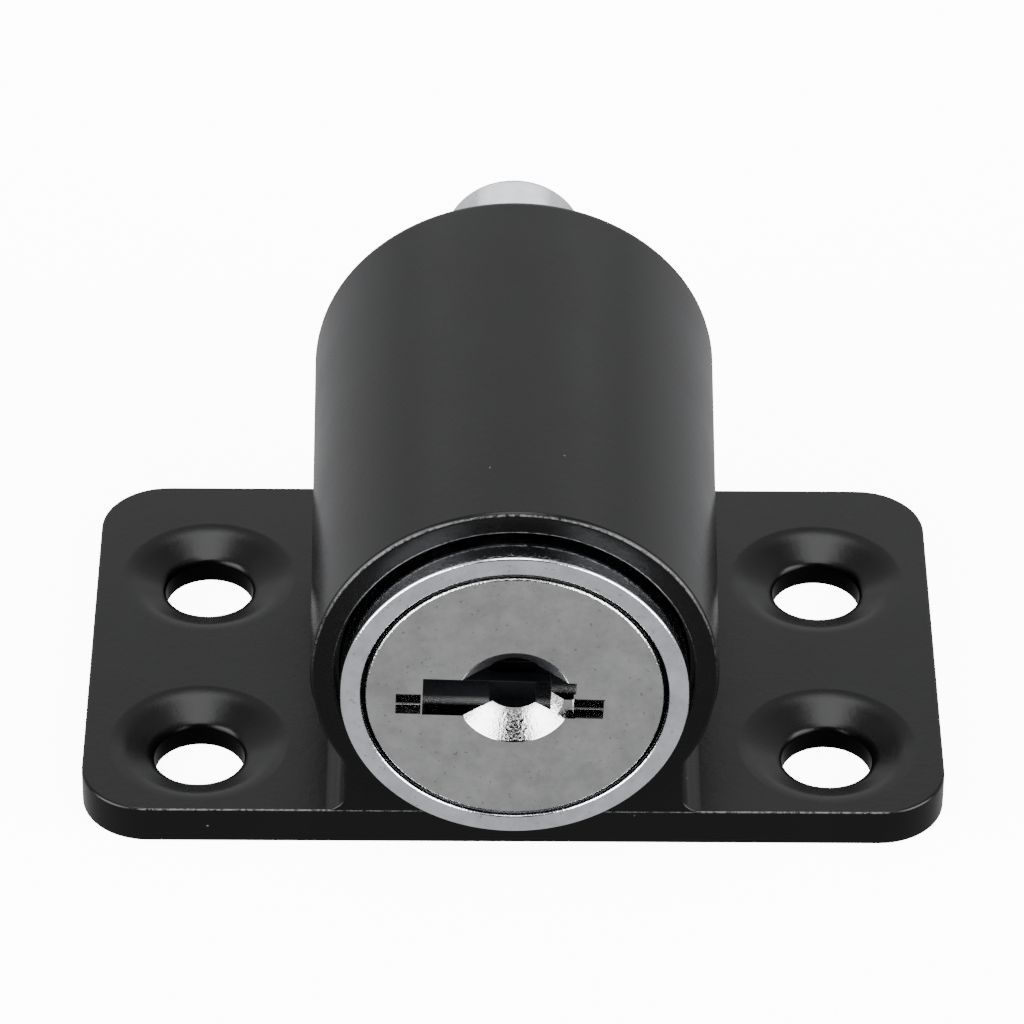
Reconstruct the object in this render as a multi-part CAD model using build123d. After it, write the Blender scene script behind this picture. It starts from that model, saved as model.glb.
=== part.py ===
from build123d import *
import math
import os

# Keyed push lock for a sliding window, in millimetres.
# +Z is up and the lock's axis runs along Y: the key side faces -Y, the bolt points to +Y.
# The origin is the centre of the base plate's underside.
# The model stands as pushed in, with the bolt out and every inner slide drawn back in line.

# Housing, a zinc die casting. The tube's draft is how much its radius grows to the back.
plate_width = 43.2
plate_thick = 2.0
plate_corner_r = 3.4
tube_wall = 1.4
tube_draft = 0.15
metal_under_bore = 1.9
web_width = 16.7
web_root_r = 1.0
housing_edge = 0.3
rear_wall = 3.0
rear_room = 2.2
front_shoulder = 1.3
mouth_clearance = 0.32
mouth_depth = 0.8
mouth_chamfer = 0.15

# Screw holes through the base plate
screw_hole_r = 2.25
screw_spacing_x = 31.6
screw_spacing_y = 13.6
screws_ahead = 1.2
countersink_r = 4.25
screw_land = 1.0

# Barrel, the push button that carries the plug and the bolt pin
barrel_r = 8.5
barrel_clearance = 0.1
barrel_proud = 1.6
barrel_edge = 0.3
barrel_rim_width = 1.05
partition_thick = 1.4
bolt_seat_thick = 2.9
spring_pocket_depth = 3.7

# Bolt pin
bolt_r = 3.7
bolt_reach = 11.4
bolt_left_proud = 0.4
bolt_clearance = 0.08
bolt_edge = 0.4
spigot_r = 2.4
spigot_length = 2.6

# Plug, turned by the key
head_gap = 0.18
head_thick = 2.3
head_edge = 0.2
head_step = 1.27
plug_clearance = 0.08
end_play = 0.1
tail_r = 3.4
tail_lip = 0.5
rest_turn = 1.65

# Keyway in the plug's face
key_slot_width = 7.55
key_slot_height = 2.15
key_slot_offset = -0.83
ledge_depth = 0.76
ledge_width = 1.2
ledge_height = 1.22
left_ledge_top = 0.3
right_ledge_top = -0.05
ward_width = 1.23
ward_height = 0.9
funnel_r = 2.78
funnel_depth = 2.0

# Wafers and their springs
wafer_count = 5
wafer_thick = 0.8
wafer_pitch = 1.6
wafer_half_height = 2.5
wafer_play = 0.05
wafer_throw = 0.6
wafer_inset = 0.06
wafer_cuts = (0.3, 0.9, 0.6, 1.2, 0.5)
wafer_window_gap = 0.15
wafer_lug_width = 0.8
wafer_lug_height = 1.0
wafer_lug_right = 0.0
wafer_spring_length = 2.6
wafer_spring_r = 0.4
wafer_spring_bore_r = 0.2
first_land = 0.5
last_land = 0.9
groove_side_gap = 0.4
groove_end_gap = 0.5

# Plug clip, an open snap ring behind the barrel's partition
clip_thick = 0.6
clip_play = 0.05
clip_groove_depth = 0.7
clip_ring_width = 1.65
clip_opening = 4.4

# Catch, its spring, and the pin that drives it
catch_width = 6.0
catch_thick = 2.4
catch_gap = 0.4
catch_play = 0.06
catch_inset = 0.15
catch_rise = 3.0
catch_bevel = 1.1
drive_pin_r = 0.9
drive_offset = 0.92
drive_play = 0.08
drive_seat_depth = 1.6
catch_spring_room = 3.8
catch_spring_r = 0.8
catch_spring_wire = 0.4
catch_spring_turns = 4
window_side_gap = 0.2
window_front_gap = 0.1
window_rear_gap = 0.5

# Guide pin, pressed in from below: it keeps the barrel from turning and stops its travel
guide_r = 1.0
guide_inside_barrel = 3.5
guide_behind_front = 7.2
guide_recess = 0.4
guide_bite = 1.45
guide_play = 0.08
guide_end_gap = 0.1

# Return spring round the bolt pin
spring_wire = 0.7
spring_turns = 4
spring_side_gap = 0.25

# Flat sides round the wire of a spring, which stand for its round section
wire_side_count = 7

# How far a cutting shape runs past the face it opens
overrun = 1.0

# Radii, from the barrel inwards and outwards
bore_r = barrel_r + barrel_clearance
mouth_r = barrel_r + mouth_clearance
tube_r = bore_r + tube_wall
axis_height = bore_r + metal_under_bore
head_bore_r = barrel_r - barrel_rim_width
head_r = head_bore_r - head_gap
plug_r = head_r - head_step
guide_x = barrel_r - guide_inside_barrel
spring_mean_r = bolt_r + spring_side_gap + spring_wire / 2
spring_pocket_r = spring_mean_r + spring_wire / 2 + spring_side_gap

# Travels: the drive pin starts 45 degrees above level on the right and ends 45 degrees below
travel = bolt_reach - bolt_left_proud
drive_side = drive_offset * math.cos(math.radians(45))
catch_throw = 2 * drive_side

# Stations along the axis, measured back from the housing's front face
barrel_front = -barrel_proud
head_back = barrel_front + head_thick
first_wafer = head_back + first_land
last_wafer_back = first_wafer + (wafer_count - 1) * wafer_pitch + wafer_thick
plug_back = last_wafer_back + last_land
partition_front = plug_back + end_play
partition_back = partition_front + partition_thick
clip_front = partition_back + clip_play
clip_back = clip_front + clip_thick
catch_front = max(clip_back + tail_lip + catch_gap, front_shoulder + travel)
tail_back = catch_front - catch_gap
catch_back = catch_front + catch_thick
bolt_seat = catch_back + catch_play + bolt_seat_thick
barrel_back = bolt_seat + spring_pocket_depth
cavity_back = barrel_back + rear_room
body_length = cavity_back + rear_wall
bolt_back = body_length + bolt_reach


def across(section, front, back):
    """A section drawn in X and Z, run along the axis between two stations."""
    return extrude(Plane.XZ.offset(-back) * section, back - front)


def rod(radius, front, back, x=0.0, z=axis_height):
    return across(Pos(x, z) * Circle(radius), front, back)


def cone(front_radius, back_radius, front, back):
    """A cone about the lock's axis."""
    middle = Pos(0, (front + back) / 2, axis_height) * Rot(90, 0, 0)
    return middle * Cone(back_radius, front_radius, back - front)


def block(x0, x1, y0, y1, z0, z1):
    middle = Pos((x0 + x1) / 2, (y0 + y1) / 2, (z0 + z1) / 2)
    return middle * Box(x1 - x0, y1 - y0, z1 - z0)


def turned(shape, degrees):
    """Turned clockwise about the lock's axis, as seen by the person with the key."""
    return Pos(0, 0, axis_height) * Rot(0, degrees, 0) * Pos(0, 0, -axis_height) * shape


def front_circles(shape):
    return shape.edges().filter_by(GeomType.CIRCLE).group_by(Axis.Y)[0]


def back_circles(shape):
    return shape.edges().filter_by(GeomType.CIRCLE).group_by(Axis.Y)[-1]


def web_section():
    """The web under the tube, with its root curving out into the plate."""
    section = Pos(0, axis_height / 2) * Rectangle(web_width, axis_height)
    for side in (-1, 1):
        foot_x = side * (web_width / 2 + web_root_r)
        corner = Pos(side * web_width / 2, plate_thick) * Rectangle(2 * web_root_r, 2 * web_root_r)
        section += corner - Pos(foot_x, plate_thick + web_root_r) * Circle(web_root_r) \
            - Pos(foot_x, plate_thick - web_root_r / 2) * Rectangle(2 * web_root_r, web_root_r)
    return section


def screw_places():
    middle = Pos(0, body_length / 2 - screws_ahead, 0)
    return [middle * place for place in GridLocations(screw_spacing_x, screw_spacing_y, 2, 2)]


def screw_hole():
    sink = plate_thick - screw_land
    hole = Pos(0, 0, plate_thick / 2) * Cylinder(screw_hole_r, plate_thick + overrun)
    return hole + Pos(0, 0, screw_land + sink / 2) * Cone(screw_hole_r, countersink_r, sink)


def catch_windows():
    """The catch drops through one window when pushed in, and the other when let out."""
    half = catch_width / 2 + window_side_gap
    cuts = []
    for shift in (0.0, -travel):
        front = catch_front + shift - window_front_gap
        back = catch_back + shift + window_rear_gap
        cuts.append(block(-half, half, front, back, -overrun, axis_height - bore_r / 2))
    return cuts


def make_housing():
    plate = Pos(0, body_length / 2, 0) * extrude(
        RectangleRounded(plate_width, body_length, plate_corner_r), plate_thick
    )
    plate = chamfer(plate.edges().group_by(Axis.Z)[-1], housing_edge)
    tube = cone(tube_r, tube_r + tube_draft, 0, body_length)
    tube = chamfer(front_circles(tube) + back_circles(tube), housing_edge)
    body = plate + across(web_section(), 0, body_length) + tube
    body -= rod(bore_r, -overrun, cavity_back)
    body -= rod(mouth_r, -overrun, mouth_depth)
    body -= cone(mouth_r + mouth_chamfer, mouth_r, 0, mouth_chamfer)
    body -= rod(bolt_r + bolt_clearance, cavity_back - overrun, body_length + overrun)
    for place in screw_places():
        body -= place * screw_hole()
    for cut in catch_windows():
        body -= cut
    return body - Pos(guide_x, guide_behind_front, 0) * Cylinder(guide_r, 2 * axis_height)


def barrel_bottom_at_guide():
    return axis_height - math.sqrt(barrel_r**2 - guide_x**2)


def make_guide_pin():
    top = barrel_bottom_at_guide() + guide_bite
    height = top - guide_recess
    pin = Pos(guide_x, guide_behind_front, guide_recess + height / 2) * Cylinder(guide_r, height)
    return chamfer(pin.edges().filter_by(GeomType.CIRCLE).group_by(Axis.Z)[-1], guide_r / 5)


def guide_groove():
    half = guide_r + guide_play
    front = guide_behind_front - guide_r - guide_end_gap
    back = guide_behind_front + travel + guide_r + guide_end_gap
    top = barrel_bottom_at_guide() + guide_bite + guide_play
    return block(guide_x - half, guide_x + half, front, back, 0, top)


def wafer_grooves():
    """Four grooves, so the wafers find room with the keyway level and upright."""
    reach = plug_r + wafer_throw + groove_end_gap
    half = wafer_half_height + groove_side_gap
    front = first_wafer - wafer_play
    back = last_wafer_back + wafer_play
    level = block(-reach, reach, front, back, axis_height - half, axis_height + half)
    upright = block(-half, half, front, back, axis_height - reach, axis_height + reach)
    return level + upright


def catch_slot():
    half = catch_width / 2 + catch_play
    top = axis_height + catch_rise + catch_spring_room
    return block(-half, half, catch_front - catch_play, catch_back + catch_play, 0, top)


def clip_chamber():
    """Room for the plug's tail and clip, open below so that the clip can be pushed on."""
    radius = tail_r - clip_groove_depth + clip_ring_width + clip_play
    chamber = rod(radius, partition_back, catch_front)
    return chamber + block(-radius, radius, partition_back, catch_front, 0, axis_height)


def make_barrel():
    barrel = rod(barrel_r, barrel_front, barrel_back)
    barrel = chamfer(front_circles(barrel) + back_circles(barrel), barrel_edge)
    barrel -= rod(head_bore_r, barrel_front - overrun, head_back + end_play / 2)
    barrel -= rod(plug_r + plug_clearance, head_back, partition_front)
    barrel -= rod(tail_r + plug_clearance, partition_front - overrun, partition_back + overrun)
    barrel -= wafer_grooves()
    barrel -= clip_chamber()
    barrel -= catch_slot()
    barrel -= rod(spigot_r, catch_back, bolt_seat + overrun)
    barrel -= rod(spring_pocket_r, bolt_seat, barrel_back + overrun)
    return barrel - guide_groove()


def make_bolt_pin():
    shank = rod(bolt_r, bolt_seat, bolt_back)
    shank = chamfer(back_circles(shank), bolt_edge)
    return shank + rod(spigot_r, bolt_seat - spigot_length, bolt_seat + overrun)


def wafer_front(index):
    return first_wafer + index * wafer_pitch


def key_slot_ends():
    return key_slot_offset - key_slot_width / 2, key_slot_offset + key_slot_width / 2


def wafer_spring_ends():
    right = wafer_lug_right - wafer_lug_width
    return right - wafer_spring_length, right


def wafer_slot(index):
    """A slot across the plug, with room above it for the wafer's lug and spring."""
    front = wafer_front(index) - wafer_play
    back = front + wafer_thick + 2 * wafer_play
    half = wafer_half_height + wafer_play
    reach = plug_r + overrun
    slot = block(-reach, reach, front, back, axis_height - half, axis_height + half)
    left, _ = wafer_spring_ends()
    right = wafer_lug_right + wafer_throw + wafer_play
    return slot + block(left, right, front, back, axis_height, axis_height + half + wafer_lug_height)


def keyway():
    """Level slot with a short ledge at each end, a ward on its floor and a round funnel at the middle."""
    left, right = key_slot_ends()
    half = key_slot_height / 2
    front = barrel_front - overrun
    floor = axis_height - half
    slot = block(left, right, front, last_wafer_back, floor, axis_height + half)
    slot -= block(right - ward_width, right, barrel_front + ledge_depth, last_wafer_back,
                  floor, floor + ward_height)
    ledges = ((left - ledge_width, left + overrun, left_ledge_top),
              (right - overrun, right + ledge_width, right_ledge_top))
    for x0, x1, top in ledges:
        z = axis_height + top
        slot += block(x0, x1, front, barrel_front + ledge_depth, z - ledge_height, z)
    return slot + cone(funnel_r, funnel_r - funnel_depth, barrel_front, barrel_front + funnel_depth)


def make_plug():
    plug = rod(head_r, barrel_front, head_back)
    plug = chamfer(front_circles(plug), head_edge)
    plug += rod(plug_r, head_back, plug_back)
    plug += rod(tail_r, plug_back, tail_back)
    outside = rod(tail_r + overrun, clip_front, clip_back)
    plug -= outside - rod(tail_r - clip_groove_depth, clip_front, clip_back)
    plug -= keyway()
    for index in range(wafer_count):
        plug -= wafer_slot(index)
    return turned(plug, rest_turn) - make_drive_pin()


def make_drive_pin():
    """Pressed into the plug's tail off its centre, and reaching through the catch."""
    front = tail_back - drive_seat_depth
    return rod(drive_pin_r, front, catch_back - catch_gap / 2, drive_side, axis_height + drive_side)


def make_wafer(index):
    front = wafer_front(index)
    back = front + wafer_thick
    half = wafer_half_height
    reach = plug_r - wafer_inset
    top = axis_height + half
    blank = rod(reach, front, back) & block(-reach, reach, front, back, axis_height - half, top)
    blank += block(wafer_lug_right - wafer_lug_width, wafer_lug_right, front, back,
                   top - wafer_lug_height / 2, top + wafer_lug_height)
    slot_left, slot_right = key_slot_ends()
    window_half = key_slot_height / 2 + wafer_window_gap
    window = block(slot_left + wafer_cuts[index], slot_right + wafer_window_gap,
                   front - overrun, back + overrun, axis_height - window_half, axis_height + window_half)
    return turned(blank - window, rest_turn)


def make_wafer_spring(index):
    """The small spring's outer shape, a sleeve: it lies sealed inside the plug."""
    left, right = wafer_spring_ends()
    z = axis_height + wafer_half_height + wafer_lug_height / 2
    y = wafer_front(index) + wafer_thick / 2
    length = right - left
    outside = RegularPolygon(wafer_spring_r, wire_side_count)
    sleeve = extrude(outside - RegularPolygon(wafer_spring_bore_r, wire_side_count), length)
    return turned(Pos(left, y, z) * Rot(0, 90, 0) * sleeve, rest_turn)


def make_plug_clip():
    inner = tail_r - clip_groove_depth
    ring = rod(inner + clip_ring_width, clip_front, clip_back) - rod(inner, clip_front, clip_back)
    mouth = block(-clip_opening / 2, clip_opening / 2, clip_front, clip_back,
                  axis_height - 2 * tail_r, axis_height)
    return turned(ring - mouth, rest_turn)


def make_catch():
    half = catch_width / 2
    top = axis_height + catch_rise
    blank = block(-half, half, catch_front, catch_back, 0, top)
    catch = blank & (rod(barrel_r - catch_inset, catch_front, catch_back) + block(
        -half, half, catch_front, catch_back, axis_height, top))
    reach = drive_pin_r + drive_play
    slot_z = axis_height + drive_side
    catch -= block(drive_side - reach, drive_offset + reach, catch_front, catch_back,
                   slot_z - reach, slot_z + reach)
    foot = axis_height - barrel_r + catch_inset
    side = catch_bevel * math.sqrt(2)
    return catch - Pos(0, catch_back, foot) * Rot(45, 0, 0) * Box(2 * catch_width, side, side)


def helix_point(radius, pitch, turn):
    angle = 2 * math.pi * turn
    return Vector(radius * math.cos(angle), radius * math.sin(angle), pitch * turn)


def helix_tangent(radius, pitch, turn):
    angle = 2 * math.pi * turn
    run = 2 * math.pi * radius
    return Vector(-run * math.sin(angle), run * math.cos(angle), pitch).normalized()


def biarc(start, start_way, end, end_way):
    """Two arcs that leave and arrive along the given ways and join smoothly."""
    chord = end - start
    a = 2 * (start_way.dot(end_way) - 1)
    b = -2 * chord.dot(start_way + end_way)
    c = chord.dot(chord)
    reach = (-b - math.sqrt(b * b - 4 * a * c)) / (2 * a)
    joint = (start + start_way * reach + end - end_way * reach) / 2
    first = Edge.make_tangent_arc(start, start_way, joint)
    return first, Edge.make_tangent_arc(joint, first % 1, end)


def coil_spring(name, mean_r, wire, turns, length):
    """One unbroken wire, coiled up +Z from its seat at z = 0."""
    pitch = (length - wire) / turns
    edges = []
    for quarter in range(4 * turns):
        t0, t1 = quarter / 4, (quarter + 1) / 4
        edges += biarc(helix_point(mean_r, pitch, t0), helix_tangent(mean_r, pitch, t0),
                       helix_point(mean_r, pitch, t1), helix_tangent(mean_r, pitch, t1))
    path = Wire(edges)
    section = Plane(origin=path @ 0, z_dir=path % 0) * RegularPolygon(wire / 2, wire_side_count)
    per_turn = 48
    points = [helix_point(mean_r, pitch, step / per_turn) for step in range(per_turn * turns + 1)]
    gap = min((points[i] - points[j]).length for i in range(len(points))
              for j in range(i + per_turn // 2, len(points))) - wire
    print(name, "least gap to itself", round(gap, 3), "mm")
    return Pos(0, 0, wire / 2) * sweep(section, path=path)


def make_return_spring():
    coil = coil_spring("return_spring", spring_mean_r, spring_wire, spring_turns, cavity_back - bolt_seat)
    return Pos(0, bolt_seat, axis_height) * Rot(-90, 0, 0) * coil


def make_catch_spring():
    coil = coil_spring("catch_spring", catch_spring_r, catch_spring_wire, catch_spring_turns,
                       catch_spring_room)
    return Pos(0, (catch_front + catch_back) / 2, axis_height + catch_rise) * coil


def save(name, shape):
    """Puts the housing's middle over the origin and writes one sub-part."""
    placed = Pos(0, -body_length / 2, 0) * shape
    export_step(placed, os.path.join("parts", name + ".step"))


def main():
    os.makedirs("parts", exist_ok=True)
    save("housing", make_housing())
    save("guide_pin", make_guide_pin())
    save("barrel", make_barrel())
    save("bolt_pin", make_bolt_pin())
    save("return_spring", make_return_spring())
    save("plug", make_plug())
    save("plug_clip", make_plug_clip())
    save("drive_pin", make_drive_pin())
    save("catch", make_catch())
    save("catch_spring", make_catch_spring())
    for index in range(wafer_count):
        save(f"wafer_{index + 1}", make_wafer(index))
        save(f"wafer_spring_{index + 1}", make_wafer_spring(index))
    print("body length", round(body_length, 3), "axis height", round(axis_height, 3),
          "travel", round(travel, 3), "catch throw", round(catch_throw, 3))


main()
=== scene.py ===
import math
import bmesh
import bpy
from mathutils import Matrix, Vector


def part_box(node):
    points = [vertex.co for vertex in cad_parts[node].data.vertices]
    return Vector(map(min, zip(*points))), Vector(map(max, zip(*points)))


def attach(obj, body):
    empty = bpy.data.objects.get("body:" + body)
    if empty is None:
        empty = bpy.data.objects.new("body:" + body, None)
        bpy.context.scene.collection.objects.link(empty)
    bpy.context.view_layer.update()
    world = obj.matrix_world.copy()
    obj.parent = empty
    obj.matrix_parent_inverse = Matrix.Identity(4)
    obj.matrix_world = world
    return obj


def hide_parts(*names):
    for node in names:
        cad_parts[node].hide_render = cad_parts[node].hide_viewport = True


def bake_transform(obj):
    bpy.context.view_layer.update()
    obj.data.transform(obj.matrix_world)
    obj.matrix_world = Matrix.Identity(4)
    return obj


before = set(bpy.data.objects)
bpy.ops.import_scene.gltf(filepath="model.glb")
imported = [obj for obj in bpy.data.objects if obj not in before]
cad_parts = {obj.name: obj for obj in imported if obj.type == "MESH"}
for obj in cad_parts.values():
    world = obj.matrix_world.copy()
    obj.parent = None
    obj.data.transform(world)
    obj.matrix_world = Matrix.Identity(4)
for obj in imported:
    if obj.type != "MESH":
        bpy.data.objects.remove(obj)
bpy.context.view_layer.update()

# Pieces are modelled in millimetres and brought to metres when they are finished.
METRE = 1000.0
# Sides of a turned shape, and how close two corners lie that are merged
ROUND = 160
TINY = 1e-4
# How far a cutter runs past what it cuts
overrun = 1.0


def corners(node):
    """A node's lowest and highest corners in the frame, in millimetres."""
    return [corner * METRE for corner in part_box(node)]


# Places read from the frame
housing_low, housing_high = corners("housing")
barrel_low, barrel_high = corners("barrel")
bolt_low, bolt_high = corners("bolt_pin")
catch_low, catch_high = corners("catch")
guide_low, guide_high = corners("guide_pin")
drive_low, drive_high = corners("drive_pin")
front, back = housing_low.y, housing_high.y
face = barrel_low.y
axis_height = (barrel_low.z + barrel_high.z) / 2
barrel_r = (barrel_high.x - barrel_low.x) / 2
catch_front, catch_back = catch_low.y, catch_high.y

# Housing: a base plate, a web and a tube, which widens to the rear by its draft and a little more sideways
tube_r = 10.0
tube_draft = 0.15
tube_swell = 1.02
plate_thick = 2.0
plate_corner_r = 3.4
web_width = 16.7
web_foot = 0.5
web_root_r = 1.0
bore_r = barrel_r + 0.1
mouth_r = barrel_r + 0.32
mouth_depth = 0.8
rear_wall = 3.0
bolt_hole_r = 3.78
bolt_hole_edge = 0.12

# How far the casting's edges are rounded. Round its two ends this grows with height, from the plate upwards.
rim_edge = 0.25
rear_edge = 0.7
plate_edge = 0.15
front_edge = 0.08
foot_edge = 0.04
mouth_edge = 0.07
growth_start = 3.0
growth_height = 6.0
underside_middle = 12.0

# Windows for the catch in the housing's underside, one for each end of the barrel's travel,
# and the guide pin's hole
travel = 11.0
window_half = 3.2
window_top = 6.2
window_room_front = 0.1
window_room_back = 0.5
guide_x = 5.0
guide_r = 1.0

# Screw holes, and how the enamel has rounded their edges over
screw_spacing_x = 31.6
screw_spacing_y = 13.6
screws_ahead = 1.2
screw_hole_r = 2.25
screw_land = 1.25
hole_edge = 0.2
sink_r = 4.25
lip_start_r = sink_r - 0.45
lip_end_r = sink_r + 0.4
lip_drop = 0.17

# Barrel
head_bore_r = 7.5
head_back = face + 2.35
ring_edge = 0.14
barrel_edge = 0.3
plug_bore_r = 6.08
partition_front = face + 11.0
partition_back = partition_front + 1.4
tail_bore_r = 3.48
chamber_r = 4.4
catch_half = 3.06
catch_room = 0.06
catch_slot_top = 6.8
bolt_seat = catch_back + 2.96
spring_pocket_r = 4.9
guide_groove_half = 1.08
guide_groove_top = 5.157
guide_groove_front = front + 6.1
guide_groove_back = front + 19.3

# Bolt pin
bolt_r = 3.7
bolt_tail_r = 2.4
bolt_nose_edge = 0.45
bolt_seat_edge = 0.1

# Plug
plug_head_r = 7.27
plug_head_back = face + 2.3
plug_head_edge = 0.16
plug_r = 6.0
plug_back = partition_front - 0.1
tail_r = 3.4
tail_back = catch_front - 0.4
clip_front = partition_back + 0.05
clip_back = clip_front + 0.6
clip_groove = 0.7
drive_hole_r = 0.9
rest_turn = 1.65
funnel_r = 2.78
funnel_depth = 2.0

# Wafers, their slots through the plug and the grooves that they reach into round the plug's bore
wafer_count = 5
wafer_pitch = 1.6
wafer_slot = 0.9
wafer_half_height = 2.55
wafer_reach = 7.0
wafer_room = 0.05
wafer_groove_r = 7.1
wafer_groove_half = 2.9
first_wafer = corners("wafer_1")[0].y - wafer_room
keyway_back = first_wafer + (wafer_count - 1) * wafer_pitch + wafer_slot

# Pockets for the wafers' lugs and springs, from the plug's middle
lug_left = -3.4
lug_right = 0.65
lug_top = 3.55
lug_spring_height = 3.0
lug_spring_length = 2.6

# The keyway's cuts in the plug's face: left, right, bottom and top from the plug's middle, then start and
# end behind its face. A ledge lies at each end of the slot, and a burr is left standing at the left one.
# A ward stands on the slot's floor at its right end. The thin cuts above the ledges are only tool marks.
# The last cut is a taller hollow behind the funnel.
ahead = -overrun
ledge_depth = 0.76
ledge_floor = -1.17
ledge_fillet = 0.07
right_ledge = 2.90
ward_depth = 0.35
ward_chamfer = 0.08
mark_depth = 0.05
deep = keyway_back - face
keyway_cuts = (
    (-5.78, -4.56, ledge_floor, 0.10, ahead, ledge_depth),
    (-5.76, -4.56, 0.05, 0.62, ahead, mark_depth),
    (-4.48, 1.80, -1.20, 1.02, ahead, deep),
    (1.75, 2.98, -0.31, 0.99, ahead, deep),
    (1.75, 2.98, -1.20, -0.30, ahead, ward_depth),
    (right_ledge, 4.35, ledge_floor, -0.02, ahead, ledge_depth),
    (right_ledge, 4.40, -0.05, 0.90, ahead, mark_depth),
    (-1.20, 1.10, -2.30, 1.30, 1.2, deep),
)

# How many of each pattern's features go to a millimetre, from their sizes. The real surfaces' grain, clouds
# and specks are finer than this, and are drawn as coarse as they need to be to show.
enamel_mottle = round(1 / 4.5, 2)
enamel_grain = round(1 / 0.38, 1)
enamel_chips = 1 / 0.2
dust_nibs = 1 / 1.25
plating_clouds = round(1 / 1.4, 1)
plating_specks = 1 / 0.25

# What shows through or lies on the finishes; the first is also painted highlight, the last painted shade
zinc_grey_highlight = "505050"
brown_specks = "4a443c"
painted_shade_grey = "26272a"


def deselect():
    for obj in bpy.context.selected_objects:
        obj.select_set(False)


def activate(obj):
    deselect()
    obj.select_set(True)
    bpy.context.view_layer.objects.active = obj


def settle(obj):
    """Keeps the piece's place in its mesh."""
    activate(obj)
    bpy.ops.object.transform_apply(location=True, rotation=True, scale=True)
    return obj


def started(name):
    """Names the primitive just added and keeps its place in its mesh."""
    obj = bpy.context.object
    obj.name = obj.data.name = name
    return settle(obj)


def block(name, x0, x1, y0, y1, z0, z1):
    deselect()
    middle = ((x0 + x1) / 2, (y0 + y1) / 2, (z0 + z1) / 2)
    bpy.ops.mesh.primitive_cube_add(size=1, location=middle, scale=(x1 - x0, y1 - y0, z1 - z0))
    return started(name)


def rod(name, radius, y0, y1, x=0.0, z=None, sides=ROUND, top=None):
    """A round bar along the lock's axis, or a cone if a second radius is given for its front."""
    deselect()
    z = axis_height if z is None else z
    front_r = radius if top is None else top
    bpy.ops.mesh.primitive_cone_add(vertices=sides, radius1=front_r, radius2=radius, depth=y1 - y0,
                                    location=(x, (y0 + y1) / 2, z), rotation=(-math.pi / 2, 0, 0))
    return started(name)


def upright_rod(name, radius, z0, z1, x, y, sides=64):
    deselect()
    bpy.ops.mesh.primitive_cylinder_add(vertices=sides, radius=radius, depth=z1 - z0,
                                        location=(x, y, (z0 + z1) / 2))
    return started(name)


def pick(obj, kind, test):
    """Selects the vertices or edges whose middle passes the test. The piece is in edit mode."""
    bpy.ops.mesh.select_mode(type=kind)
    bpy.ops.mesh.select_all(action="DESELECT")
    mesh = bmesh.from_edit_mesh(obj.data)
    for element in {"VERT": mesh.verts, "EDGE": mesh.edges}[kind]:
        points = [element.co] if kind == "VERT" else [vertex.co for vertex in element.verts]
        if test(sum(points, Vector()) / len(points)):
            element.select_set(True)
    mesh.select_flush_mode()
    bmesh.update_edit_mesh(obj.data)


def soften(obj, test, offset, segments):
    """Rounds the picked edges over."""
    activate(obj)
    bpy.ops.object.mode_set(mode="EDIT")
    pick(obj, "EDGE", test)
    bpy.ops.mesh.bevel(offset=offset, segments=segments, affect="EDGES", clamp_overlap=False)
    bpy.ops.object.mode_set(mode="OBJECT")


def modify(obj, kind, **settings):
    """Adds a modifier and applies it."""
    activate(obj)
    modifier = obj.modifiers.new(kind.title(), kind)
    for name, value in settings.items():
        setattr(modifier, name, value)
    bpy.ops.object.modifier_apply(modifier=modifier.name)


def combine(obj, others, operation):
    """Joins the other shapes to this one, or cuts them out of it."""
    for other in others:
        modify(obj, "BOOLEAN", object=other, operation=operation, solver="EXACT")
        bpy.data.objects.remove(other)
    return obj


def flatten(obj):
    """Merges faces that lie in one plane."""
    activate(obj)
    bpy.ops.object.mode_set(mode="EDIT")
    bpy.ops.mesh.select_all(action="SELECT")
    bpy.ops.mesh.remove_doubles(threshold=TINY)
    bpy.ops.mesh.dissolve_limited(angle_limit=math.radians(0.2))
    bpy.ops.object.mode_set(mode="OBJECT")


def turned_piece(name, outline, closed=False, sides=ROUND):
    """A lathe-turned shape: (radius, station) corners spun about the lock's axis."""
    deselect()
    radius, station = outline[0]
    bpy.ops.mesh.primitive_plane_add(size=1, location=(radius, station, axis_height))
    obj = started(name)
    bpy.ops.object.mode_set(mode="EDIT")
    bpy.ops.mesh.select_mode(type="VERT")
    bpy.ops.mesh.select_all(action="SELECT")
    bpy.ops.mesh.merge(type="CENTER")
    for corner in outline[1:] + (outline[:1] if closed else []):
        step = (corner[0] - radius, corner[1] - station, 0)
        bpy.ops.mesh.extrude_region_move(TRANSFORM_OT_translate={"value": step})
        radius, station = corner
    bpy.ops.mesh.select_all(action="SELECT")
    bpy.ops.mesh.remove_doubles(threshold=TINY)
    bpy.ops.mesh.select_all(action="SELECT")
    bpy.ops.mesh.spin(steps=sides, angle=2 * math.pi, center=(0, 0, axis_height), axis=(0, 1, 0))
    bpy.ops.mesh.select_all(action="SELECT")
    bpy.ops.mesh.remove_doubles(threshold=TINY)
    bpy.ops.mesh.normals_make_consistent(inside=False)
    bpy.ops.object.mode_set(mode="OBJECT")
    return obj


def from_axis(point):
    return math.hypot(point.x, point.z - axis_height)


def near(value, target, room=0.02):
    return abs(value - target) < room


def ring(radius, station):
    """A test for the points of one turned edge."""
    return lambda point: near(from_axis(point), radius) and near(point.y, station)


def about_axis(degrees):
    """Clockwise about the lock's axis, as seen by the person with the key."""
    spin = Matrix.Translation((0, 0, axis_height)) @ Matrix.Rotation(math.radians(degrees), 4, "Y")
    return spin @ Matrix.Translation((0, 0, -axis_height))


def turn(obj, degrees):
    obj.matrix_world = about_axis(degrees) @ obj.matrix_world
    settle(obj)


def put(obj, location, rotation=(0, 0, 0)):
    obj.location = location
    obj.rotation_euler = rotation
    settle(obj)


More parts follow.
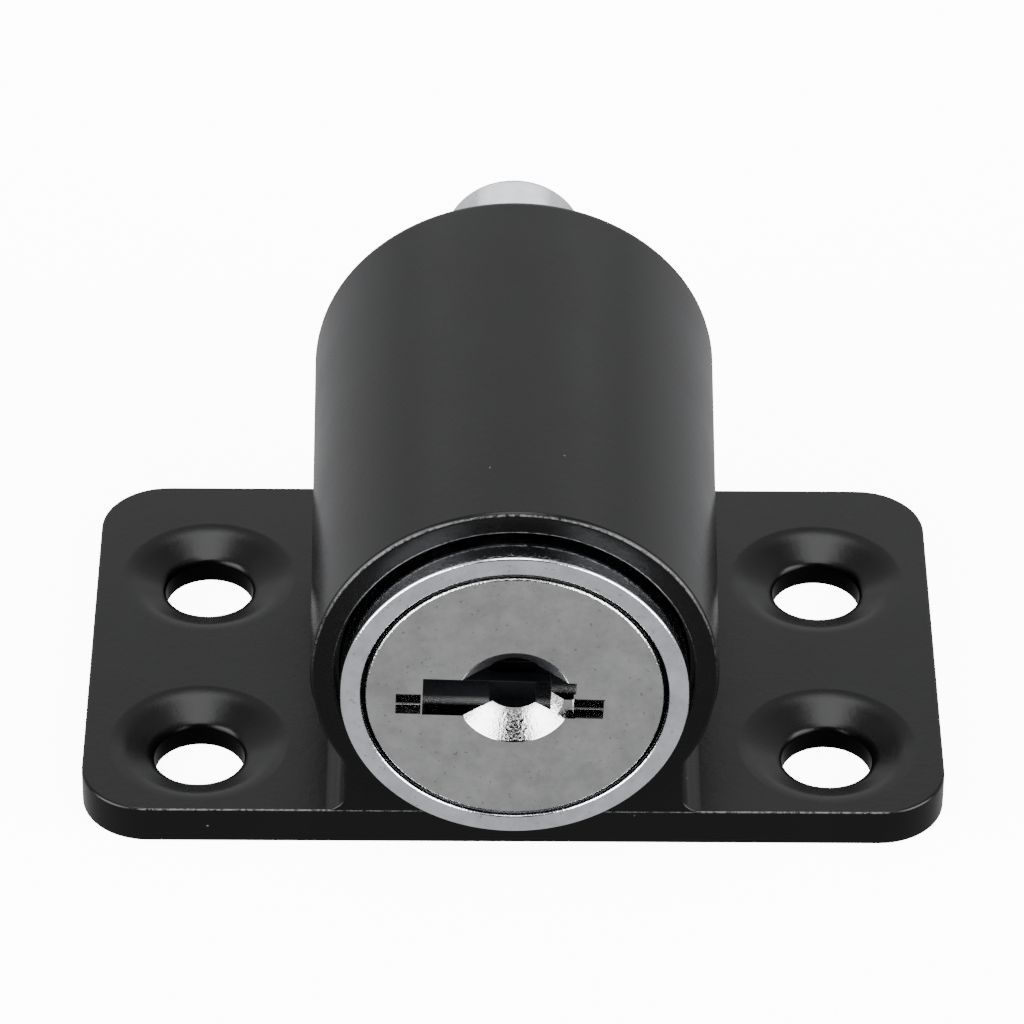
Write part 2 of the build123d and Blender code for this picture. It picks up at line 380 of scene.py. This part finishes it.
def finish_piece(obj, body, nodes, material):
    """Brings a piece to metres, smooths its shading, and sets it in place of its nodes.

    It rides on one body. A spring has none, and is finished through stretch().
    """
    obj.scale = (1 / METRE,) * 3
    settle(obj)
    bpy.ops.object.shade_smooth_by_angle(angle=math.radians(35))
    modify(obj, "WEIGHTED_NORMAL", keep_sharp=True, weight=100)
    obj.data.materials.clear()
    obj.data.materials.append(material)
    if body:
        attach(obj, body)
    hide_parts(*nodes)


def colour(text, level=1.0):
    """A hex colour as linear light, brought up or down to a level."""
    channels = [int(text[start:start + 2], 16) / 255 for start in (0, 2, 4)]
    linear = [c / 12.92 if c <= 0.04045 else ((c + 0.055) / 1.055) ** 2.4 for c in channels]
    return tuple(channel * level for channel in linear) + (1.0,)


def add(tree, kind, inputs=None, **settings):
    """Adds one node; each input takes a value or another node's output."""
    node = tree.nodes.new(kind)
    for name, value in settings.items():
        setattr(node, name, value)
    for socket, value in (inputs or {}).items():
        if isinstance(value, bpy.types.NodeSocket):
            tree.links.new(value, node.inputs[socket])
        else:
            node.inputs[socket].default_value = value
    return node


def begin(name):
    """A new material, its shader, and its Object coordinates in millimetres."""
    material = bpy.data.materials.new(name)
    material.use_nodes = True
    tree = material.node_tree
    shader = tree.nodes["Principled BSDF"]
    where = add(tree, "ShaderNodeTexCoord").outputs["Object"]
    place = add(tree, "ShaderNodeMapping", {"Vector": where, "Scale": (METRE,) * 3}).outputs["Vector"]
    return material, tree, shader, place


def share(tree, steps):
    """The product of smooth steps: each is a value with the levels at which it starts and is full."""
    product = 1.0
    for value, start, full in steps:
        step = add(tree, "ShaderNodeMapRange", {"Value": value, 1: start, 2: full},
                   interpolation_type="SMOOTHSTEP").outputs[0]
        product = add(tree, "ShaderNodeMath", {0: product, 1: step}, operation="MULTIPLY").outputs[0]
    return product


def radius_at(tree, place):
    """Each point's distance from the lock's axis."""
    flat = add(tree, "ShaderNodeVectorMath", {0: place, 1: (1, 0, 1), 2: (0, 0, -axis_height)},
               operation="MULTIPLY_ADD")
    return add(tree, "ShaderNodeVectorMath", {0: flat.outputs[0]}, operation="LENGTH").outputs["Value"]


def worn_highlit_edges(tree, place):
    """The mouth's two edges and the plate's long front edge: chipped wear, and painted highlight on these top
    edges.
    """
    _, y, z = add(tree, "ShaderNodeSeparateXYZ", {0: place}).outputs
    radius = radius_at(tree, place)
    bands = []
    # The middle and half width of the line at each edge of the mouth; it fades down the sides, as painted
    # highlight
    for line, half in ((tube_r - 0.12, 0.06), (mouth_r + 0.08, 0.03)):
        off = add(tree, "ShaderNodeMath", {0: radius, 1: line}, operation="SUBTRACT").outputs[0]
        off = add(tree, "ShaderNodeMath", {0: off}, operation="ABSOLUTE").outputs[0]
        bands.append(share(tree, [(off, half, half / 3), (z, axis_height - 1, axis_height + 7)]))
    inset = 0.03
    to_edge = (0, -front - inset, inset - plate_thick)
    edge = add(tree, "ShaderNodeVectorMath", {0: place, 1: (0, 1, 1), 2: to_edge}, operation="MULTIPLY_ADD")
    off = add(tree, "ShaderNodeVectorMath", {0: edge.outputs[0]}, operation="LENGTH").outputs["Value"]
    bands.append(share(tree, [(off, 0.06, 0.025)]))
    wear_highlight_lines = bands[0]
    for band in bands[1:]:
        wear_highlight_lines = add(tree, "ShaderNodeMath", {0: wear_highlight_lines, 1: band}, operation="MAXIMUM").outputs[0]
    chips = add(tree, "ShaderNodeTexNoise", {"Vector": place, "Scale": enamel_chips, "Detail": 3.0,
                                             "Roughness": 0.7}).outputs["Fac"]
    kept = share(tree, [(chips, 0.34, 0.6), (y, front + 0.3, front + 0.2)])
    return add(tree, "ShaderNodeMath", {0: wear_highlight_lines, 1: kept}, operation="MULTIPLY").outputs[0]


def satin_black_enamel():
    """Stoved enamel, sprayed on a zinc die casting.

    It is near black, with a soft sheen and a faint mottle. It has a few dust nibs to each square centimetre
    near the front. Its edges show chipped wear and painted highlight in grey, and the screw holes' walls
    have their sheen turned down as painted shade.
    """
    material, tree, shader, place = begin("satin_black_enamel")
    x, y, z = add(tree, "ShaderNodeSeparateXYZ", {0: place}).outputs
    mottle = add(tree, "ShaderNodeTexNoise", {"Vector": place, "Scale": enamel_mottle, "Detail": 5.0,
                                              "Roughness": 0.6}).outputs["Fac"]
    tone = add(tree, "ShaderNodeMix", {0: mottle, 6: colour("030303"), 7: colour("050505")}, data_type="RGBA")
    dust = add(tree, "ShaderNodeTexVoronoi", {"Vector": place, "Scale": dust_nibs})
    few = add(tree, "ShaderNodeSeparateXYZ", {0: dust.outputs["Color"]}).outputs["X"]
    nibs = share(tree, [(dust.outputs["Distance"], 0.07, 0.03), (few, 0.8, 0.82),
                        (y, front + 6, front + 4)])
    # Grey on the edges is chipped wear and painted highlight along the upper edges; the nibs are grey too
    edge_wear_highlight = worn_highlit_edges(tree, place)
    bare = add(tree, "ShaderNodeMath", {0: edge_wear_highlight, 1: nibs}, operation="MAXIMUM").outputs[0]
    tint = add(tree, "ShaderNodeMix", {0: bare, 6: tone.outputs[2], 7: colour(zinc_grey_highlight)}, data_type="RGBA")
    gloss = add(tree, "ShaderNodeMapRange", {"Value": mottle, 1: 0.3, 2: 0.7, 3: 0.23, 4: 0.29})
    grain = add(tree, "ShaderNodeTexNoise", {"Vector": place, "Scale": enamel_grain, "Detail": 4.0,
                                             "Roughness": 0.65})
    height = add(tree, "ShaderNodeMath", {0: bare, 1: 1.5, 2: grain.outputs["Fac"]},
                 operation="MULTIPLY_ADD").outputs[0]
    bump = add(tree, "ShaderNodeBump", {"Height": height, "Strength": 0.12, "Distance": 0.06 / METRE})
    across = add(tree, "ShaderNodeMath", {0: x}, operation="ABSOLUTE").outputs[0]
    # The screw holes' walls have their sheen turned down: painted shade in these hollows
    walls = share(tree, [(z, screw_land, screw_land - 0.2), (z, 0.0, 0.03),
                         (across, 13.2, 13.5), (across, 18.4, 18.1),
                         (y, front + 0.7, front + 0.9), (y, back - 0.7, back - 0.9)])
    hole_wall_shade = add(tree, "ShaderNodeMapRange", {"Value": walls, 3: 0.2, 4: 0.03})
    tree.links.new(hole_wall_shade.outputs[0], shader.inputs["Specular IOR Level"])
    tree.links.new(tint.outputs[2], shader.inputs["Base Color"])
    tree.links.new(gloss.outputs[0], shader.inputs["Roughness"])
    tree.links.new(bump.outputs["Normal"], shader.inputs["Normal"])
    return material


def metal(name, tint, rough, grain_size, grain_depth, spread=0.05, where=None, shade_mask=None):
    """A bare or plated metal, its grain in millimetres, a little cloudy and finely specked in its tone.

    `where` gives the share of the grain at each place, and the last argument where shade is painted on it
    as a dark grey, rougher and less metallic.
    """
    material, tree, shader, place = begin(name)
    grain = add(tree, "ShaderNodeTexNoise", {"Vector": place, "Scale": 1 / grain_size, "Detail": 3.0,
                                             "Roughness": 0.55})
    cloud = add(tree, "ShaderNodeTexNoise", {"Vector": place, "Scale": plating_clouds, "Detail": 6.0,
                                             "Roughness": 0.7}).outputs["Fac"]
    gloss = add(tree, "ShaderNodeMapRange", {"Value": cloud, 1: 0.3, 2: 0.7, 3: rough - spread,
                                             4: rough + spread})
    strength = 1.0 if where is None else where(tree, place)
    bump = add(tree, "ShaderNodeBump", {"Height": grain.outputs["Fac"], "Strength": strength,
                                        "Distance": grain_depth / METRE})
    patch = add(tree, "ShaderNodeMapRange", {"Value": cloud, 1: 0.35, 2: 0.65})
    tone = add(tree, "ShaderNodeMix", {0: patch.outputs[0], 6: colour(tint, 0.85), 7: colour(tint, 1.13)},
               data_type="RGBA")
    fine = add(tree, "ShaderNodeTexNoise", {"Vector": place, "Scale": plating_specks, "Detail": 2.0,
                                            "Roughness": 0.6})
    speck = add(tree, "ShaderNodeMath", {0: share(tree, [(fine.outputs["Fac"], 0.66, 0.74)]), 1: 0.45},
                operation="MULTIPLY")
    tone = add(tree, "ShaderNodeMix", {0: speck.outputs[0], 6: tone.outputs[2], 7: colour(brown_specks)},
               data_type="RGBA")
    # Painted shade: a dark grey, rougher and less metallic, where the mask puts the part in shade
    if shade_mask:
        shade_share = shade_mask(tree, place)
        tone = add(tree, "ShaderNodeMix", {0: shade_share, 6: tone.outputs[2], 7: colour(painted_shade_grey)},
                   data_type="RGBA")
        gloss = add(tree, "ShaderNodeMapRange", {"Value": shade_share, 3: gloss.outputs[0], 4: 0.35})
        bare = add(tree, "ShaderNodeMapRange", {"Value": shade_share, 3: 1.0, 4: 0.3})
        tree.links.new(bare.outputs[0], shader.inputs["Metallic"])
    tree.links.new(tone.outputs[2], shader.inputs["Base Color"])
    tree.links.new(gloss.outputs[0], shader.inputs["Roughness"])
    tree.links.new(bump.outputs["Normal"], shader.inputs["Normal"])
    shader.inputs["Metallic"].default_value = 1.0
    return material


def painted_keyway_shade(tree, place):
    """Painted shade in the keyway past its mouth, over the funnel's upper half and in the gap round the plug.
    """
    _, y, z = add(tree, "ShaderNodeSeparateXYZ", {0: place}).outputs
    radius = radius_at(tree, place)
    dark = share(tree, [(y, face + 0.8, face + 1.6), (radius, 7.0, 6.9)])
    above = share(tree, [(z, axis_height + 0.5, axis_height + 0.8), (y, face + 0.02, face + 0.1),
                         (radius, 3.0, 2.9)])
    gap = share(tree, [(radius, 7.1, 7.2), (y, face + 0.2, face + 0.45), (radius, 7.6, 7.5)])
    for region in (above, gap):
        dark = add(tree, "ShaderNodeMath", {0: dark, 1: region}, operation="MAXIMUM").outputs[0]
    return dark


def cast_pits(tree, place):
    """The plug's face is smooth; the funnel and the rim stayed rough under the plating."""
    y = add(tree, "ShaderNodeSeparateXYZ", {0: place}).outputs["Y"]
    radius = radius_at(tree, place)
    funnel = share(tree, [(y, face + 0.01, face + 0.06), (radius, funnel_r + 0.12, funnel_r)])
    rim = share(tree, [(radius, plug_head_r - 0.3, plug_head_r - 0.15)])
    rough = add(tree, "ShaderNodeMath", {0: funnel, 1: rim}, operation="MAXIMUM").outputs[0]
    return add(tree, "ShaderNodeMapRange", {"Value": rough, 3: 0.04, 4: 1.0}).outputs[0]


def ring_edges(tree, place):
    """The barrel's ring is turned smooth, with its two edges nicked and pitted."""
    y = add(tree, "ShaderNodeSeparateXYZ", {0: place}).outputs["Y"]
    radius = radius_at(tree, place)
    inner = share(tree, [(radius, head_bore_r + 0.22, head_bore_r + 0.1)])
    outer = share(tree, [(radius, barrel_r - 0.3, barrel_r - 0.1)])
    rough = add(tree, "ShaderNodeMath", {0: outer, 1: 0.8, 2: inner}, operation="MULTIPLY_ADD").outputs[0]
    at_face = share(tree, [(y, face + 1.3, face + 0.2)])
    rough = add(tree, "ShaderNodeMath", {0: rough, 1: at_face}, operation="MULTIPLY").outputs[0]
    return add(tree, "ShaderNodeMapRange", {"Value": rough, 3: 0.05, 4: 0.9}).outputs[0]


def sink_cutter(x, y):
    """The screw hole with its countersink. The slope is divided, so that it is shaded evenly."""
    below = -overrun
    above = plate_thick + 0.6
    outline = [(0, below), (screw_hole_r, below), (screw_hole_r, screw_land - 0.3),
               (screw_hole_r + 0.05, screw_land - 0.15), (screw_hole_r + hole_edge, screw_land)]
    steps = 6
    for step in range(1, steps + 1):
        part = step / steps
        outline.append((screw_hole_r + hole_edge + part * (lip_start_r - screw_hole_r - hole_edge),
                        screw_land + part * (plate_thick - lip_drop - screw_land)))
    outline += [(sink_r - 0.15, plate_thick - 0.07), (sink_r + 0.15, plate_thick - 0.015),
                (lip_end_r, plate_thick + 0.01), (lip_end_r, above), (0, above)]
    cutter = turned_piece("sink", outline, sides=96)
    upright = Matrix.Translation((x, y, 0)) @ Matrix.Rotation(math.pi / 2, 4, "X")
    cutter.matrix_world = upright @ Matrix.Translation((0, 0, -axis_height))
    return settle(cutter)


def edge_weights(obj):
    """How far each edge round the casting's two ends is rounded, as a share of the rim's rounding."""
    weights = obj.data.attributes.new("bevel_weight_edge", "FLOAT", "EDGE")
    for edge in obj.data.edges:
        points = [obj.data.vertices[index].co for index in edge.vertices]
        middle = (points[0] + points[1]) / 2
        at_front, at_back = (all(near(p.y, end) for p in points) for end in (front, back))
        size = 0.0
        if at_front or at_back:
            largest = rim_edge if at_front else rear_edge
            growth = min(max((middle.z - growth_start) / growth_height, 0.0), 1.0)
            size = front_edge + (largest - front_edge) * growth
            if middle.z < 0.02:
                size = foot_edge
        on_top = all(near(p.z, plate_thick) for p in points)
        if on_top and abs(middle.x) > web_width / 2 + web_root_r + 0.05:
            size = front_edge if at_front else plate_edge
        if all(near(p.z, 0) for p in points) and abs(middle.x) + abs(middle.y) > underside_middle:
            size = foot_edge
        upright = near(points[0].x, points[1].x, 0.001) and near(points[0].y, points[1].y, 0.001)
        if upright and middle.z < plate_thick:
            size = 0.0
        weights.data[edge.index].value = size / rim_edge


def make_housing():
    half = housing_high.x
    body = block("housing_casting", -half, half, front, back, 0, plate_thick)
    soften(body, lambda m: near(abs(m.x), half) and near(abs(m.y), back), plate_corner_r, 14)
    web = block("web", -web_width / 2, web_width / 2, front, back, web_foot, axis_height)
    tube = rod("tube", tube_r + tube_draft, front, back, top=tube_r)
    activate(tube)
    bpy.ops.object.mode_set(mode="EDIT")
    pick(tube, "VERT", lambda p: p.y > 0)
    bpy.ops.transform.resize(value=(tube_swell, 1, 1), center_override=(0, 0, axis_height))
    bpy.ops.object.mode_set(mode="OBJECT")
    combine(body, [web, tube], "UNION")
    flatten(body)
    soften(body, lambda m: near(abs(m.x), web_width / 2) and near(m.z, plate_thick) and near(m.y, 0),
           web_root_r, 6)
    edge_weights(body)
    modify(body, "BEVEL", width=rim_edge, segments=5, limit_method="WEIGHT", use_clamp_overlap=False)
    # The bore, whose mouth has a rounded edge and whose bolt hole has a chamfered one
    rear = back - rear_wall
    before, behind = front - overrun, back + overrun
    outline = [(0, before), (mouth_r + mouth_edge, before), (mouth_r + mouth_edge, front - 0.01),
               (mouth_r + 0.05, front + 0.05), (mouth_r, front + mouth_edge), (mouth_r, front + mouth_depth),
               (bore_r, front + mouth_depth), (bore_r, rear), (bolt_hole_r, rear),
               (bolt_hole_r, back - bolt_hole_edge), (bolt_hole_r + bolt_hole_edge, back + 0.01),
               (bolt_hole_r + bolt_hole_edge, behind), (0, behind)]
    cutters = [turned_piece("bore", outline)]
    for side in (-1, 1):
        for row in (-1, 1):
            cutters.append(sink_cutter(side * screw_spacing_x / 2, row * screw_spacing_y / 2 - screws_ahead))
    for shift in (0.0, -travel):
        cutters.append(block("window", -window_half, window_half, catch_front + shift - window_room_front,
                             catch_back + shift + window_room_back, -overrun, window_top))
    guide_y = (guide_low.y + guide_high.y) / 2
    cutters.append(upright_rod("guide_hole", guide_r, -overrun, window_top, guide_x, guide_y))
    return combine(body, cutters, "DIFFERENCE")


def make_barrel():
    outline = [(barrel_r, face), (barrel_r, barrel_high.y), (spring_pocket_r, barrel_high.y),
               (spring_pocket_r, bolt_seat), (bolt_tail_r, bolt_seat), (bolt_tail_r, partition_front),
               (plug_bore_r, partition_front), (plug_bore_r, head_back), (head_bore_r, head_back),
               (head_bore_r, face)]
    barrel = turned_piece("push_barrel", outline, closed=True)
    soften(barrel, ring(barrel_r, face), ring_edge, 4)
    soften(barrel, ring(head_bore_r, face), ring_edge, 4)
    soften(barrel, ring(barrel_r, barrel_high.y), barrel_edge, 2)
    reach, half, last = wafer_groove_r, wafer_groove_half, keyway_back
    slot_front, slot_back = catch_front - catch_room, catch_back + catch_room
    cutters = [
        rod("tail_bore", tail_bore_r, partition_front - overrun, partition_back + overrun, sides=96),
        block("level", -reach, reach, first_wafer, last, axis_height - half, axis_height + half),
        block("upright", -half, half, first_wafer, last, axis_height - reach, axis_height + reach),
        rod("chamber", chamber_r, partition_back, catch_front, sides=96),
        block("chamber_way", -chamber_r, chamber_r, partition_back, catch_front, 0, axis_height),
        block("catch_slot", -catch_half, catch_half, slot_front, slot_back, 0, axis_height + catch_slot_top),
        block("guide_groove", guide_x - guide_groove_half, guide_x + guide_groove_half, guide_groove_front,
              guide_groove_back, 0, guide_groove_top),
    ]
    return combine(barrel, cutters, "DIFFERENCE")


def make_bolt_pin():
    outline = [(0, bolt_low.y), (bolt_tail_r, bolt_low.y), (bolt_tail_r, bolt_seat), (bolt_r, bolt_seat),
               (bolt_r, bolt_high.y), (0, bolt_high.y)]
    pin = turned_piece("locking_bolt", outline, sides=128)
    soften(pin, ring(bolt_r, bolt_high.y), bolt_nose_edge, 5)
    soften(pin, ring(bolt_r, bolt_seat), bolt_seat_edge, 2)
    return pin


def make_plug():
    groove_r = tail_r - clip_groove
    outline = [(0, face), (plug_head_r, face), (plug_head_r, plug_head_back), (plug_r, plug_head_back),
               (plug_r, plug_back), (tail_r, plug_back), (tail_r, clip_front), (groove_r, clip_front),
               (groove_r, clip_back), (tail_r, clip_back), (tail_r, tail_back), (0, tail_back)]
    plug = turned_piece("key_plug", outline)
    soften(plug, ring(plug_head_r, face), plug_head_edge, 4)
    flatten(plug)
    cutters = []
    for left, right, bottom, top, start, end in keyway_cuts:
        cutters.append(block("keyway", left, right, face + start, face + end, axis_height + bottom,
                             axis_height + top))
    # The funnel starts just ahead of the face, so that the cut is clean.
    cutters.append(rod("funnel", funnel_r - funnel_depth, face - 0.001, face + funnel_depth, sides=96,
                       top=funnel_r))
    for index in range(wafer_count):
        y0 = first_wafer + index * wafer_pitch
        y1 = y0 + wafer_slot
        cutters.append(block("wafer_slot", -wafer_reach, wafer_reach, y0, y1,
                             axis_height - wafer_half_height, axis_height + wafer_half_height))
        cutters.append(block("lug_slot", lug_left, lug_right, y0, y1, axis_height, axis_height + lug_top))
    combine(plug, cutters, "DIFFERENCE")
    soften(plug, lambda m: near(m.x, right_ledge) and near(m.y, face + ward_depth), ward_chamfer, 1)
    soften(plug, lambda m: near(m.y, face + ledge_depth) and near(m.z, axis_height + ledge_floor),
           ledge_fillet, 3)
    turn(plug, rest_turn)
    drive_x, drive_z = (drive_low.x + drive_high.x) / 2, (drive_low.z + drive_high.z) / 2
    drive_hole = rod("drive_hole", drive_hole_r, drive_low.y, tail_back + overrun, drive_x, drive_z, sides=48)
    return combine(plug, [drive_hole], "DIFFERENCE")


def edged_copy(name, edge):
    """A copy of a small part, its faces made whole and its edges rounded as they are when it is tumbled."""
    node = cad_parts[name]
    deselect()
    bpy.ops.mesh.primitive_cube_add(size=1)
    obj = started(name + "_part")
    obj.data = node.data.copy()
    obj.data.transform(Matrix.Scale(METRE, 4) @ node.matrix_world)
    flatten(obj)
    modify(obj, "BEVEL", width=edge, segments=2, limit_method="ANGLE", angle_limit=math.radians(40))
    return obj


def coil(name, mean_r, wire, turns, length, sides=14, steps=40):
    """A coil spring up the Z axis from z = 0, drawn by carrying the wire's round section along a screw."""
    deselect()
    bpy.ops.mesh.primitive_circle_add(vertices=sides, radius=wire / 2, location=(mean_r, 0, wire / 2),
                                      rotation=(math.pi / 2, 0, 0))
    spring = started(name)
    modify(spring, "SCREW", angle=2 * math.pi * turns, screw_offset=(length - wire), steps=steps * turns,
           render_steps=steps * turns, axis="Z", use_normal_calculate=True)
    activate(spring)
    bpy.ops.object.mode_set(mode="EDIT")
    bpy.ops.mesh.select_mode(type="EDGE")
    bpy.ops.mesh.select_all(action="DESELECT")
    bpy.ops.mesh.select_non_manifold()
    bpy.ops.mesh.edge_face_add()
    bpy.ops.mesh.select_all(action="SELECT")
    bpy.ops.mesh.normals_make_consistent(inside=False)
    bpy.ops.object.mode_set(mode="OBJECT")
    return spring


def stretch(obj, node, material):
    """Finishes a spring that pushes two bodies apart, on no body, and bakes its place. The ends are in
    millimetres.
    """
    finish_piece(obj, None, [node], material)
    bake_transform(obj)


def set_camera():
    """The photograph's view, worked out from the places of the plate, the holes and the rings in it."""
    elevation, yaw, roll = (math.radians(value) for value in (37.165, -0.3785, 0.5272))
    distance = 0.319756
    aim = Vector((-0.0000939, 0.0033442, 0.008))
    turn_to = Matrix.Rotation(yaw, 4, "Z") @ Matrix.Rotation(math.pi / 2 - elevation, 4, "X")
    turn_to = turn_to @ Matrix.Rotation(roll, 4, "Z")
    deselect()
    bpy.ops.object.camera_add()
    camera = bpy.context.object
    camera.name = "camera"
    camera.data.lens = 219.755
    camera.data.sensor_width = 36.0
    camera.data.clip_start = 0.01
    camera.matrix_world = Matrix.Translation(aim + turn_to.to_3x3() @ Vector((0, 0, distance))) @ turn_to
    bpy.context.scene.camera = camera


def set_floor():
    """A pale matt floor. It glows evenly, and leaves it to the sweep to light the part from below."""
    deselect()
    bpy.ops.mesh.primitive_plane_add(size=6.0, location=(0, 0, -0.02 / METRE))
    floor = started("floor")
    material, _, shader, _ = begin("pale_matt_floor")
    shader.inputs["Base Color"].default_value = (0.9, 0.9, 0.9, 1)
    shader.inputs["Roughness"].default_value = 0.9
    shader.inputs["Specular IOR Level"].default_value = 0.0
    shader.inputs["Emission Color"].default_value = (1, 1, 1, 1)
    shader.inputs["Emission Strength"].default_value = 10.0
    floor.data.materials.append(material)
    floor.visible_glossy = False
    floor.visible_diffuse = False


def set_lights():
    """A white sweep, a softbox overhead, one at each side and a strip behind, with a dark camera among them.

    Each is a patch of the sky, where x runs across, y away from the key side and z up, all from -1 to 1.
    """
    world = bpy.data.worlds.new("studio")
    bpy.context.scene.world = world
    world.use_nodes = True
    tree = world.node_tree
    sky = tree.nodes["Background"]
    way = add(tree, "ShaderNodeTexCoord").outputs["Generated"]
    x, y, z = add(tree, "ShaderNodeSeparateXYZ", {0: way}).outputs
    across = add(tree, "ShaderNodeMath", {0: x}, operation="ABSOLUTE").outputs[0]
    # The sweep, a touch darker behind and aside, with its brighter wall behind, and the dark camera
    behind = share(tree, [(y, -0.3, 0.5)])
    aside = share(tree, [(across, 0.3, 0.6)])
    open_floor = add(tree, "ShaderNodeMath", {0: behind, 1: aside}, operation="MAXIMUM").outputs[0]
    sweep = add(tree, "ShaderNodeMapRange", {"Value": open_floor, 3: 0.56, 4: 0.55}).outputs[0]
    upper = share(tree, [(y, 0.2, 0.5), (z, -0.9, 0.35)])
    sweep = add(tree, "ShaderNodeMath", {0: upper, 1: 0.53, 2: sweep}, operation="MULTIPLY_ADD").outputs[0]
    to_camera = add(tree, "ShaderNodeVectorMath", {0: way, 1: (0, -0.797, 0.604)}, operation="DOT_PRODUCT")
    clear = share(tree, [(to_camera.outputs["Value"], 0.95, 0.9)])
    level = add(tree, "ShaderNodeMath", {0: sweep, 1: clear}, operation="MULTIPLY").outputs[0]
    overhead = [(across, 0.26, 0.17), (y, -0.43, -0.33), (y, 0.45, 0.3), (z, 0.5, 0.6)]
    sides = [(across, 0.38, 0.5), (y, 0.02, -0.12), (y, -0.77, -0.7), (z, -0.16, 0.0), (z, 0.8, 0.68)]
    strip = [(across, 0.58, 0.36), (y, 0.74, 0.77), (y, 0.86, 0.83), (z, 0.2, 0.3)]
    for patch, strength in ((overhead, 7.0), (sides, 14.0), (strip, 1.0)):
        lamp = share(tree, patch)
        level = add(tree, "ShaderNodeMath", {0: lamp, 1: strength, 2: level},
                    operation="MULTIPLY_ADD").outputs[0]
    tree.links.new(level, sky.inputs["Strength"])
    sky.inputs["Color"].default_value = (0.975, 0.98, 1, 1)


set_camera()
set_floor()
set_lights()

# Housing: enamelled zinc
enamel = satin_black_enamel()
# Barrel: chrome over a turned zinc casting, a clear and slightly soft mirror with pitted edges
# Painted shade darkens the barrel's bore and the gap round the plug
barrel_chrome = metal("satin_chrome_plate", "e6eaee", 0.1, grain_size=0.16, grain_depth=0.02, spread=0.03,
                      where=ring_edges, shade_mask=painted_keyway_shade)
# Plug: nickel and chrome over a zinc casting that was left as cast, greyer, with a coarse funnel and rim
# Painted shade darkens the plug's keyway, the funnel's upper half and the gap round its head
plug_chrome = metal("cast_nickel_chrome", "c0c0bf", 0.08, grain_size=0.15, grain_depth=0.035, spread=0.02,
                    where=cast_pits, shade_mask=painted_keyway_shade)
# Bolt pin: steel, turned, polished and chromed, bright and even all over
bolt_chrome = metal("polished_chrome_plate", "e0e2e5", 0.1, grain_size=0.6, grain_depth=0.002, spread=0.03)
# Guide pin and drive pin: steel drawn through a die, a fine grey satin
bright_steel = metal("bright_drawn_steel", "b4b6b8", 0.25, grain_size=0.2, grain_depth=0.004)
# Catch: punched steel, zinc plated in bulk, pale and a little matt
zinc_steel = metal("zinc_plated_steel", "aab0b4", 0.32, grain_size=0.3, grain_depth=0.006)
# Springs and clip: drawn and tempered wire, a darker grey with a fine sheen
spring_wire = metal("spring_steel_wire", "9c9ea2", 0.25, grain_size=0.3, grain_depth=0.004)
# Wafers: punched from rolled brass sheet, warm yellow, darkened inside the plug by painted shade
wafer_brass = metal("rolled_brass", "c8a35a", 0.28, grain_size=0.3, grain_depth=0.004, shade_mask=painted_keyway_shade)

finish_piece(make_housing(), "housing", ["housing"], enamel)
finish_piece(make_barrel(), "barrel", ["barrel"], barrel_chrome)
finish_piece(make_bolt_pin(), "barrel", ["bolt_pin"], bolt_chrome)
finish_piece(make_plug(), "plug", ["plug"], plug_chrome)

# Small parts, each with its body, material, slot and the rounding of its edges
small_parts = [("guide_pin", "housing", bright_steel, "steel", 0.08),
               ("plug_clip", "plug", spring_wire, "steel", 0.04),
               ("drive_pin", "plug", bright_steel, "steel", 0.06),
               ("catch", "catch", zinc_steel, "steel", 0.12)]
for index in range(wafer_count):
    name = f"wafer_{index + 1}"
    small_parts.append((name, name, wafer_brass, "brass", 0.05))
for name, body, material, slot, edge in small_parts:
    finish_piece(edged_copy(name, edge), body, [name], material)

# The return spring lies round the bolt pin, from the pocket in the barrel to the housing's rear wall.
cavity_back = corners("return_spring")[1].y
spring = coil("return_coil", mean_r=4.3, wire=0.7, turns=4, length=cavity_back - bolt_seat)
put(spring, (0, bolt_seat, axis_height), (-math.pi / 2, 0, 0))
stretch(spring, "return_spring", spring_wire)

# The catch spring stands on the catch, under the top of the catch's slot in the barrel.
spring_low, spring_high = corners("catch_spring")
middle = (spring_low.y + spring_high.y) / 2
spring = coil("catch_coil", mean_r=0.8, wire=0.4, turns=4, length=spring_high.z - spring_low.z)
put(spring, (0, middle, spring_low.z))
stretch(spring, "catch_spring", spring_wire)

# Each wafer's spring lies level in its pocket, between the plug and the wafer's lug.
for index in range(wafer_count):
    middle = first_wafer + index * wafer_pitch + wafer_slot / 2
    start = Vector((lug_left, middle, axis_height + lug_spring_height))
    spring = coil(f"wafer_coil_{index + 1}", mean_r=0.31, wire=0.18, turns=6, length=lug_spring_length,
                  sides=8, steps=20)
    put(spring, start, (0, math.pi / 2, 0))
    turn(spring, rest_turn)
    stretch(spring, f"wafer_spring_{index + 1}", spring_wire)
